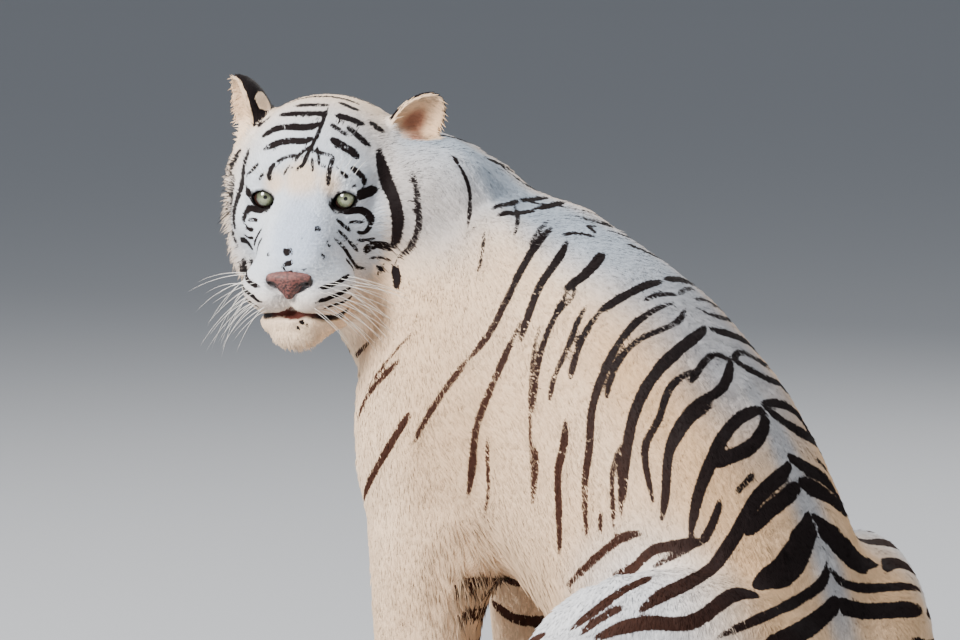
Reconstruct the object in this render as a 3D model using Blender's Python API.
"""A white tiger at life size, sitting upright and looking back over its left shoulder.

Frame while modelling: +X is the tiger's own left, -Y is the way its chest faces, +Z is up and the
floor is z = 0. The flesh is one distance field of lofted limbs and rounded masses that melt into
each other. Blender's OpenVDB turns it into a surface, once finely for the head and once for the
rest, and a Decimate modifier thins it. Thin cuts then part it where a person would name its parts.
"""

import math

import bmesh
import bpy
import numpy as np
import openvdb
from mathutils import Matrix, Vector

GAP = 0.0004            # the cut between neighbouring parts
BODY_VOXEL = 0.0070
HEAD_VOXEL = 0.0036
FAR = 0.30              # the field's value away from all flesh

# The head's own frame: origin midway between the eyes, -Y towards the nose.
EYE_MIDDLE = Vector((0.184, -0.129, 0.892))
HEAD_YAW, HEAD_PITCH, HEAD_ROLL = math.radians(117), math.radians(9), math.radians(0)
EYE_SPREAD = 0.052      # from the middle of the face to an eye's centre
EYE_RADIUS = 0.0180

LEG_SPREAD = 0.115      # from the midline to a foreleg
HIND_SPREAD = 0.27      # from the midline to a knee


def head_matrix():
    turn = Matrix.Rotation(HEAD_YAW, 4, "Z") @ Matrix.Rotation(HEAD_PITCH, 4, "X")
    return Matrix.Translation(EYE_MIDDLE) @ turn @ Matrix.Rotation(HEAD_ROLL, 4, "Y")


HEAD = head_matrix()
BODY = Matrix.Identity(4)


# ---------------------------------------------------------------- the field

def smooth_path(points, steps=3):
    """A Catmull-Rom curve through rows of numbers, positions and sizes alike."""
    rows = np.array(points, float)
    rows = np.vstack([2 * rows[0] - rows[1], rows, 2 * rows[-1] - rows[-2]])
    out = []
    for a, b, c, d in zip(rows, rows[1:], rows[2:], rows[3:]):
        for t in np.linspace(0, 1, steps, endpoint=False):
            out.append(0.5 * (2 * b + (c - a) * t + (2 * a - 5 * b + 4 * c - d) * t ** 2
                              + (3 * b - a - 3 * c + d) * t ** 3))
    out.append(rows[-2])
    return np.array(out)


class Flesh:
    """Distances to the tiger's surface on a grid, negative inside."""

    def __init__(self, low, high, voxel):
        self.low, self.voxel = np.array(low, float), voxel
        self.shape = tuple(np.ceil((np.array(high) - low) / voxel).astype(int) + 1)
        self.values = np.full(self.shape, FAR, np.float32)
        self.matrix = BODY

    def window(self, corners, reach):
        """The part of the grid within reach of some points, and its points as three arrays."""
        corners = np.array([self.matrix @ Vector(c) for c in corners])
        first = np.floor((corners.min(0) - reach - self.low) / self.voxel).astype(int)
        last = np.ceil((corners.max(0) + reach - self.low) / self.voxel).astype(int) + 1
        first = np.clip(first, 0, self.shape)
        last = np.clip(last, 0, self.shape)
        if (last - first).min() <= 0:
            return None, None
        axes = [self.low[k] + self.voxel * np.arange(first[k], last[k]) for k in range(3)]
        grid = np.stack(np.meshgrid(*axes, indexing="ij"), -1).astype(np.float32)
        inverse = np.array(self.matrix.inverted(), np.float32)
        return tuple(slice(a, b) for a, b in zip(first, last)), grid @ inverse[:3, :3].T + inverse[:3, 3]

    def join(self, where, distance, blend):
        """Melts a new form into the old ones over the width of blend."""
        old = self.values[where]
        meet = np.maximum(blend - np.abs(old - distance), 0) / max(blend, 1e-6)
        self.values[where] = np.minimum(old, distance) - meet ** 2 * blend / 4

    def carve(self, where, distance, blend):
        old = self.values[where]
        meet = np.maximum(blend - np.abs(old + distance), 0) / max(blend, 1e-6)
        self.values[where] = np.maximum(old, -distance) + meet ** 2 * blend / 4

    def mass(self, centre, radii, blend=0.03, turn=(0, 0, 0), hollow=False):
        """An ellipsoid of flesh, turned by degrees about X, Y and Z, or a hollow of that shape."""
        where, grid = self.window([centre], max(radii) + blend + 0.01)
        if where is None:
            return
        spin = Matrix.Identity(3)
        for degrees, axis in zip(turn, "XYZ"):
            spin = Matrix.Rotation(math.radians(degrees), 3, axis) @ spin
        local = (grid - np.array(centre, np.float32)) @ np.array(spin, np.float32)
        (self.carve if hollow else self.join)(where, ellipsoid(local, np.array(radii)), blend)

    def limb(self, stations, side, blend=0.03, square=2.0, hollow=False):
        """A tube through stations (x, y, z, half width along side, half width across)."""
        path = smooth_path(stations)
        reach = path[:, 3:5].max() + blend + 0.01
        where, grid = self.window(path[:, :3], reach)
        if where is None:
            return
        nearest = np.full(grid.shape[:3], FAR, np.float32)
        for a, b in zip(path, path[1:]):
            span = b[:3] - a[:3]
            offset = grid - a[:3].astype(np.float32)
            t = np.clip(offset @ span / (span @ span), 0, 1)
            along = Vector(span).normalized()
            across = (Vector(side) - Vector(side).dot(along) * along).normalized()
            axes = np.array([across, along.cross(across), along], np.float32)
            local = (offset - t[..., None] * span) @ axes.T
            sizes = a[3:5] + t[..., None] * (b[3:5] - a[3:5])
            radii = np.concatenate([sizes, sizes.min(-1, keepdims=True)], -1)
            nearest = np.minimum(nearest, ellipsoid(local, radii, square))
        (self.carve if hollow else self.join)(where, nearest, blend)

    def floor(self):
        """Cuts the flesh off flat at the floor."""
        heights = self.low[2] + self.voxel * np.arange(self.shape[2])
        self.values = np.maximum(self.values, -heights.astype(np.float32))

    def mesh(self, name):
        """The surface where the field is zero, closed where it leaves the grid."""
        for axis in range(3):
            border = np.moveaxis(self.values, axis, 0)
            border[0] = FAR
            border[-1] = FAR
        grid = openvdb.FloatGrid(FAR)
        grid.copyFromArray(self.values)
        points, quads = grid.convertToQuads(isovalue=0.0)
        mesh = bpy.data.meshes.new(name)
        mesh.from_pydata((points * self.voxel + self.low).tolist(), [], quads.tolist())
        return mesh


def ellipsoid(local, radii, square=2.0):
    """About the distance to an ellipsoid, or to a squarer one in its first two directions."""
    scaled = np.abs(local) / radii
    if square != 2.0:
        flat = (scaled[..., 0] ** square + scaled[..., 1] ** square) ** (1 / square)
        size = np.sqrt(flat ** 2 + scaled[..., 2] ** 2)
    else:
        size = np.sqrt((scaled ** 2).sum(-1))
    slope = np.sqrt(((local / radii ** 2) ** 2).sum(-1)) + 1e-9
    return (size * (size - 1) / slope).astype(np.float32)


# ---------------------------------------------------------------- the body

def trunk(flesh):
    # (x, y, z, half width, half depth), from the front of the chest round the back to the rump
    flesh.limb([
        (0.00, -0.018, 0.615, 0.092, 0.132),
        (0.00, 0.022, 0.645, 0.122, 0.184),
        (0.00, 0.090, 0.645, 0.150, 0.215),
        (0.00, 0.175, 0.615, 0.160, 0.222),
        (0.00, 0.255, 0.555, 0.168, 0.215),
        (0.00, 0.325, 0.480, 0.174, 0.203),
        (0.00, 0.380, 0.395, 0.176, 0.190),
        (0.00, 0.420, 0.300, 0.172, 0.178),
        (0.00, 0.455, 0.205, 0.158, 0.165),
        (0.00, 0.475, 0.135, 0.125, 0.130),
    ], side=(1, 0, 0), square=2.2)


def neck(flesh):
    flesh.limb([
        (0.000, 0.070, 0.690, 0.130, 0.175),
        (0.000, -0.020, 0.748, 0.124, 0.166),
        (0.000, -0.090, 0.808, 0.116, 0.152),
        (0.010, -0.150, 0.850, 0.108, 0.130),
        (0.060, -0.180, 0.878, 0.098, 0.108),
    ], side=(0.75, 0.65, 0.0), blend=0.06)
    flesh.mass((0.055, -0.070, 0.870), (0.085, 0.130, 0.085), 0.05, (20, 0, 0))   # the fold of the turned side


def foreleg(flesh, way):
    x = way * LEG_SPREAD
    flesh.limb([  # the shoulder blade and its muscle, then the upper arm down to the elbow
        (way * 0.068, 0.095, 0.825, 0.034, 0.055),
        (way * 0.100, 0.060, 0.730, 0.050, 0.090),
        (way * 0.118, 0.014, 0.630, 0.062, 0.104),
        (way * 0.120, 0.002, 0.560, 0.064, 0.098),
        (x, 0.016, 0.480, 0.063, 0.090),
        (x, 0.018, 0.420, 0.060, 0.080),
    ], side=(1, 0, 0), blend=0.05)
    flesh.limb([  # the forearm, the wrist and the pastern
        (x, 0.016, 0.440, 0.063, 0.082),
        (x, 0.008, 0.350, 0.062, 0.076),
        (x, 0.004, 0.250, 0.054, 0.062),
        (x, 0.001, 0.165, 0.047, 0.051),
        (x, -0.004, 0.100, 0.047, 0.048),
        (x, -0.018, 0.060, 0.050, 0.050),
    ], side=(1, 0, 0), blend=0.03)
    paw(flesh, (x, -0.030), way)


def paw(flesh, centre, way, length=1.0):
    """A broad cat's paw: the pastern, four toes in an arc and the pads flat on the floor."""
    x, y = centre
    flesh.mass((x, y + 0.010, 0.036), (0.055, 0.066 * length, 0.040), 0.02)
    for across, ahead in ((-0.040, -0.046), (-0.0145, -0.066), (0.0145, -0.068), (0.040, -0.050)):
        splay = (0, 0, -way * across * 300)
        flesh.mass((x + way * across, y + ahead, 0.024), (0.0185, 0.030, 0.029), 0.006, splay)


def hindleg(flesh, way):
    knee = way * HIND_SPREAD
    flesh.limb([  # the thigh, from the hip to the knee
        (way * 0.085, 0.510, 0.215, 0.095, 0.140),
        (way * 0.140, 0.490, 0.275, 0.095, 0.165),
        (way * 0.190, 0.455, 0.322, 0.092, 0.158),
        (way * 0.235, 0.415, 0.338, 0.083, 0.130),
        (knee, 0.378, 0.328, 0.068, 0.096),
    ], side=(0.8 * way, 0.6, 0), blend=0.035)
    flesh.limb([  # the shank, folded down to the hock
        (knee, 0.385, 0.300, 0.064, 0.090),
        (knee, 0.420, 0.215, 0.062, 0.085),
        (way * 0.255, 0.470, 0.130, 0.052, 0.065),
        (way * 0.245, 0.520, 0.070, 0.038, 0.044),
    ], side=(1, 0, 0), blend=0.04)
    flesh.limb([  # the long foot, flat on the floor
        (way * 0.245, 0.530, 0.045, 0.034, 0.042),
        (way * 0.252, 0.450, 0.040, 0.038, 0.038),
        (way * 0.258, 0.350, 0.038, 0.044, 0.038),
        (way * 0.262, 0.270, 0.036, 0.048, 0.038),
    ], side=(1, 0, 0), blend=0.025)
    paw(flesh, (way * 0.264, 0.235), way, 0.9)
    flesh.mass((way * 0.075, 0.560, 0.090), (0.085, 0.090, 0.105), 0.05)


def tail(flesh):
    # from the rump along the floor, round the outside of the right haunch
    flesh.limb([
        (0.000, 0.570, 0.150, 0.046, 0.050),
        (-0.010, 0.645, 0.085, 0.042, 0.044),
        (-0.050, 0.705, 0.042, 0.038, 0.040),
        (-0.130, 0.735, 0.031, 0.035, 0.036),
        (-0.230, 0.715, 0.030, 0.033, 0.034),
        (-0.320, 0.655, 0.029, 0.032, 0.033),
        (-0.380, 0.570, 0.028, 0.031, 0.032),
        (-0.410, 0.480, 0.028, 0.030, 0.031),
        (-0.415, 0.390, 0.026, 0.028, 0.029),
        (-0.405, 0.315, 0.023, 0.025, 0.026),
    ], side=(0, 0, 1), blend=0.02)


# ---------------------------------------------------------------- the head

def skull(flesh):
    flesh.matrix = HEAD
    flesh.mass((0, 0.085, 0.018), (0.108, 0.122, 0.090), 0.05)                # cranium
    flesh.mass((0, 0.060, -0.060), (0.100, 0.085, 0.085), 0.05)               # jaw muscles
    flesh.limb([  # the muzzle
        (0, 0.020, -0.050, 0.076, 0.068),
        (0, -0.035, -0.066, 0.060, 0.054),
        (0, -0.076, -0.084, 0.048, 0.042),
    ], side=(1, 0, 0), blend=0.04, square=2.3)
    flesh.limb([  # the broad flat bridge of the nose, up to the forehead
        (0, 0.060, 0.040, 0.060, 0.058),
        (0, 0.020, 0.018, 0.046, 0.040),
        (0, -0.020, -0.010, 0.036, 0.027),
        (0, -0.060, -0.042, 0.034, 0.024),
        (0, -0.098, -0.076, 0.032, 0.019),
    ], side=(1, 0, 0), blend=0.022, square=2.8)
    flesh.limb([  # the lower jaw and chin
        (0, -0.074, -0.146, 0.045, 0.032),
        (0, -0.030, -0.134, 0.058, 0.043),
        (0, 0.050, -0.110, 0.080, 0.054),
    ], side=(1, 0, 0), blend=0.018)
    for way in (1, -1):
        face_half(flesh, way)


def face_half(flesh, way):
    flesh.mass((way * 0.078, 0.085, -0.040), (0.046, 0.052, 0.080), 0.045)     # ruff below the ear
    flesh.mass((way * 0.070, 0.070, -0.095), (0.044, 0.050, 0.048), 0.045)     # ruff at the throat
    flesh.mass((way * 0.068, 0.020, -0.036), (0.034, 0.036, 0.026), 0.03)      # cheekbone
    flesh.mass((way * 0.044, 0.008, 0.031), (0.034, 0.026, 0.018), 0.02, (0, way * 12, 0))   # brow
    flesh.mass((way * 0.038, -0.070, -0.102), (0.035, 0.043, 0.032), 0.018)    # whisker pad
    socket = (way * EYE_SPREAD, -0.026, -0.001)
    flesh.mass(socket, (0.021, 0.020, 0.013), 0.010, (0, way * 14, 0), hollow=True)


def mane(flesh):
    """The longer coat that hangs behind the cheeks."""
    flesh.matrix = HEAD
    flesh.mass((0.112, 0.128, -0.075), (0.040, 0.045, 0.090), 0.035)
    flesh.mass((-0.097, 0.112, -0.020), (0.037, 0.050, 0.080), 0.050)
    flesh.matrix = BODY


# Each ear's root, how it stands (degrees about X forward, Y sideways and Z, the opening),
# and half its width and depth.
EAR_LEFT = ((0.096, 0.105, 0.048), (0, 42, 22), 0.031, 0.028)
EAR_RIGHT = ((-0.098, 0.100, 0.058), (4, -16, -70), 0.039, 0.027)


def ear(name, root, lean, width, thick):
    """A rounded cup, thick at the root and about 6 mm at its rim."""
    place = HEAD @ Matrix.Translation(root)
    for degrees, axis in ((lean[0], "X"), (lean[1], "Y"), (lean[2], "Z")):
        place = place @ Matrix.Rotation(math.radians(degrees), 4, axis)
    centre = np.array(place.translation)
    flesh = Flesh(centre - 0.12, centre + 0.12, 0.0030)
    flesh.matrix = place
    flesh.mass((0, 0, 0.024), (width, thick, 0.057), 0.01)
    flesh.mass((0, -0.013, 0.032), (width - 0.0065, 0.032, 0.049), 0.004, hollow=True)
    return thinned(add_object(name, flesh.mesh(name)), 250)


# ---------------------------------------------------------------- cutting apart

def add_object(name, mesh):
    obj = bpy.data.objects.new(name, mesh)
    bpy.context.scene.collection.objects.link(obj)
    return obj


def settle(obj):
    """Puts the modified mesh in place of the old one."""
    graph = bpy.context.evaluated_depsgraph_get()
    graph.update()
    mesh = bpy.data.meshes.new_from_object(obj.evaluated_get(graph))
    obj.modifiers.clear()
    obj.data = mesh
    return obj


def thinned(obj, triangles):
    """The same surface with about this many triangles, and its flats on the floor kept level."""
    mesh = obj.data
    obj.modifiers.new("triangles", "TRIANGULATE")
    mod = obj.modifiers.new("thin", "DECIMATE")
    mod.ratio = triangles / sum(len(face.vertices) - 2 for face in mesh.polygons)
    settle(obj)
    for vertex in obj.data.vertices:
        if abs(vertex.co.z) < 0.0020:
            vertex.co.z = 0.0
    return obj


def grown(obj, amount, name="tool"):
    """A copy whose surface is moved out along its normals."""
    copy = add_object(name, obj.data.copy())
    normals = [tuple(v.normal) for v in copy.data.vertices]
    for vertex, normal in zip(copy.data.vertices, normals):
        vertex.co = vertex.co + Vector(normal) * amount
    return copy


def boolean(obj, tool, operation):
    mod = obj.modifiers.new("cut", "BOOLEAN")
    mod.operation, mod.solver, mod.object = operation, "EXACT", tool
    return settle(obj)


def take(rest, tool, name):
    """Cuts the part of rest inside tool off as an object of its own, a gap away."""
    piece = add_object(name, rest.data.copy())
    boolean(piece, tool, "INTERSECT")
    wider = grown(tool, GAP)
    boolean(rest, wider, "DIFFERENCE")
    bpy.data.objects.remove(wider)
    bpy.data.objects.remove(tool)
    return piece


def box(low, high, matrix=BODY):
    mesh = bpy.data.meshes.new("box")
    bm = bmesh.new()
    bmesh.ops.create_cube(bm, size=1.0)
    low, high = Vector(low), Vector(high)
    for vert in bm.verts:
        vert.co = [l + (c + 0.5) * (h - l) for l, c, h in zip(low, vert.co, high)]
    bmesh.ops.transform(bm, matrix=matrix, verts=bm.verts)
    bm.to_mesh(mesh)
    bm.free()
    return add_object("box", mesh)


def head_region(extra=0.0):
    """What belongs to the head: an egg round the skull and the jaws."""
    return ball((0, 0.000, -0.030), (0.175 + extra, 0.185 + extra, 0.220 + extra), HEAD, 16, 10)


def ball(centre, radii, matrix=BODY, segments=16, rings=10):
    mesh = bpy.data.meshes.new("ball")
    bm = bmesh.new()
    bmesh.ops.create_uvsphere(bm, u_segments=segments, v_segments=rings, radius=1.0)
    stretch = Matrix.Diagonal((*radii, 1.0))
    bmesh.ops.transform(bm, matrix=matrix @ Matrix.Translation(centre) @ stretch, verts=bm.verts)
    bm.to_mesh(mesh)
    bm.free()
    return add_object("ball", mesh)


def tube(stations, side, triangles=110):
    """A fat tube used as a cutter."""
    rows = np.array(stations, float)
    margin = rows[:, 3:5].max() + 0.03
    flesh = Flesh(rows[:, :3].min(0) - margin, rows[:, :3].max(0) + margin, 0.012)
    flesh.limb(stations, side, 0.001)
    return thinned(add_object("tube", flesh.mesh("tube")), triangles)


def neck_cutter():
    """A box whose lower face runs from the throat's foot up to the withers."""
    turn = Matrix.Translation((0, -0.045, 0.775)) @ Matrix.Rotation(math.radians(38), 4, "X")
    return box((-0.24, -0.40, 0.0), (0.30, 0.26, 0.45), turn)


def foreleg_cutter(way):
    x = way * 0.125
    return tube([
        (x, 0.030, 0.640, 0.085, 0.115),
        (x, 0.010, 0.560, 0.085, 0.115),
        (x, 0.020, 0.450, 0.080, 0.105),
        (x, 0.010, 0.300, 0.085, 0.100),
        (x, 0.000, 0.000, 0.085, 0.100),
    ], side=(1, 0, 0))


def hindleg_cutter(way):
    return tube([
        (way * 0.165, 0.510, 0.260, 0.075, 0.170),
        (way * 0.210, 0.470, 0.310, 0.095, 0.170),
        (way * 0.250, 0.420, 0.330, 0.095, 0.150),
        (way * 0.285, 0.370, 0.325, 0.085, 0.120),
    ], side=(0.8 * way, 0.6, 0))


def tail_cutter():
    return tube([
        (-0.005, 0.680, 0.060, 0.070, 0.070),
        (-0.050, 0.720, 0.040, 0.060, 0.065),
        (-0.130, 0.745, 0.030, 0.055, 0.060),
        (-0.230, 0.725, 0.030, 0.055, 0.060),
        (-0.320, 0.665, 0.030, 0.050, 0.060),
        (-0.385, 0.570, 0.030, 0.050, 0.060),
        (-0.415, 0.480, 0.030, 0.050, 0.060),
        (-0.425, 0.390, 0.030, 0.050, 0.060),
        (-0.420, 0.260, 0.030, 0.050, 0.060),
    ], side=(0, 0, 1), triangles=260)


def shank_box(way):
    low, high = sorted((way * 0.195, way * 0.37))
    return (low, 0.13, -0.10), (high, 0.62, 0.088)


# ---------------------------------------------------------------- assembling

def build_flesh(low, high, voxel, name):
    flesh = Flesh(low, high, voxel)
    trunk(flesh)
    neck(flesh)
    tail(flesh)
    for way in (1, -1):
        foreleg(flesh, way)
        hindleg(flesh, way)
    mane(flesh)
    face = Flesh(low, high, voxel)
    skull(face)
    flesh.join(slice(None), face.values, 0.030)
    flesh.floor()
    return flesh.mesh(name)


def build_head():
    head = add_object("head", build_flesh((-0.06, -0.36, 0.62), (0.38, 0.12, 1.06), HEAD_VOXEL, "head"))
    thinned(head, 3000)
    region = head_region()
    boolean(head, region, "INTERSECT")
    bpy.data.objects.remove(region)
    take(head, ball((0, -0.125, -0.089), (0.036, 0.024, 0.019), HEAD, 14, 8), "nose")
    for name, way in (("eye_left", 1), ("eye_right", -1)):
        eye = ball((way * EYE_SPREAD, -0.008, 0.0), (EYE_RADIUS,) * 3, HEAD)
        eye.name = name
        socket = ball((way * EYE_SPREAD, -0.008, 0.0), (EYE_RADIUS + 1.5 * GAP,) * 3, HEAD)
        boolean(head, socket, "DIFFERENCE")
        bpy.data.objects.remove(socket)
    return head


def build_ears(*neighbours):
    """The ears stand on the skin: what would lie under it is cut away."""
    for name, stance in (("ear_left", EAR_LEFT), ("ear_right", EAR_RIGHT)):
        piece = ear(name, *stance)
        for neighbour in neighbours:
            skin = grown(neighbour, GAP)
            boolean(piece, skin, "DIFFERENCE")
            bpy.data.objects.remove(skin)


def build_body():
    body = add_object("trunk", build_flesh((-0.48, -0.38, -0.03), (0.40, 0.80, 1.06), BODY_VOXEL, "trunk"))
    thinned(body, 2360)
    region = head_region(GAP)
    boolean(body, region, "DIFFERENCE")
    bpy.data.objects.remove(region)
    neck_piece = take(body, neck_cutter(), "neck")
    tail_piece = take(body, tail_cutter(), "tail_middle")
    take(tail_piece, box((-0.60, 0.10, -0.10), (-0.350, 0.70, 0.20)), "tail_tip")
    take(tail_piece, box((-0.115, 0.50, -0.10), (0.20, 0.90, 0.20)), "tail_base")
    for side, way in (("left", 1), ("right", -1)):
        x = way * LEG_SPREAD
        take(body, box((x - 0.085, -0.16, -0.10), (x + 0.085, 0.09, 0.108)), "front_paw_" + side)
        take(body, foreleg_cutter(way), "foreleg_" + side)
        take(body, box(*shank_box(way)), "hind_foot_" + side)
        take(body, hindleg_cutter(way), "hindleg_" + side)
    take(body, box((-0.40, -0.60, -0.10), (0.40, 0.150, 1.00)), "chest")
    across_loins = Matrix.Translation((0, 0.345, 0.375)) @ Matrix.Rotation(math.radians(-63), 4, "X")
    take(body, box((-0.40, 0.0, -0.60), (0.40, 0.60, 0.60), across_loins), "rump")
    return neck_piece


COAT = (0.80, 0.76, 0.69)
FINISHES = {  # colour, roughness
    "nose": ((0.42, 0.22, 0.19), 0.45),
    "eye_left": ((0.40, 0.42, 0.30), 0.08),
    "eye_right": ((0.40, 0.42, 0.30), 0.08),
    "ear_left": ((0.62, 0.50, 0.43), 0.85),
    "ear_right": ((0.62, 0.50, 0.43), 0.85),
}


def paint(obj):
    colour, roughness = FINISHES.get(obj.name, (COAT, 0.9))
    material = bpy.data.materials.new(obj.name)
    material.use_nodes = True
    shader = material.node_tree.nodes["Principled BSDF"]
    shader.inputs["Base Color"].default_value = (*colour, 1.0)
    shader.inputs["Roughness"].default_value = roughness
    shader.inputs["Metallic"].default_value = 0.0
    obj.data.materials.clear()
    obj.data.materials.append(material)


def stand_on_origin(pieces):
    """Hangs every piece on one empty that puts the origin under the middle of the whole."""
    corners = np.array([piece.matrix_world @ vertex.co for piece in pieces for vertex in piece.data.vertices])
    middle = (corners.min(0) + corners.max(0)) / 2
    tiger = bpy.data.objects.new("tiger", None)
    bpy.context.scene.collection.objects.link(tiger)
    tiger.location = (-middle[0], -middle[1], -corners[:, 2].min())
    for piece in pieces:
        piece.parent = tiger


def main():
    for obj in list(bpy.data.objects):
        bpy.data.objects.remove(obj)
    head = build_head()
    build_ears(head, build_body())
    pieces = list(bpy.data.objects)
    for piece in pieces:
        paint(piece)
        piece.data.shade_smooth()
        piece.data.set_sharp_from_angle(angle=math.radians(50))
    stand_on_origin(pieces)
    counts = {piece.name: sum(len(f.vertices) - 2 for f in piece.data.polygons) for piece in pieces}
    print(counts, sum(counts.values()))


main()
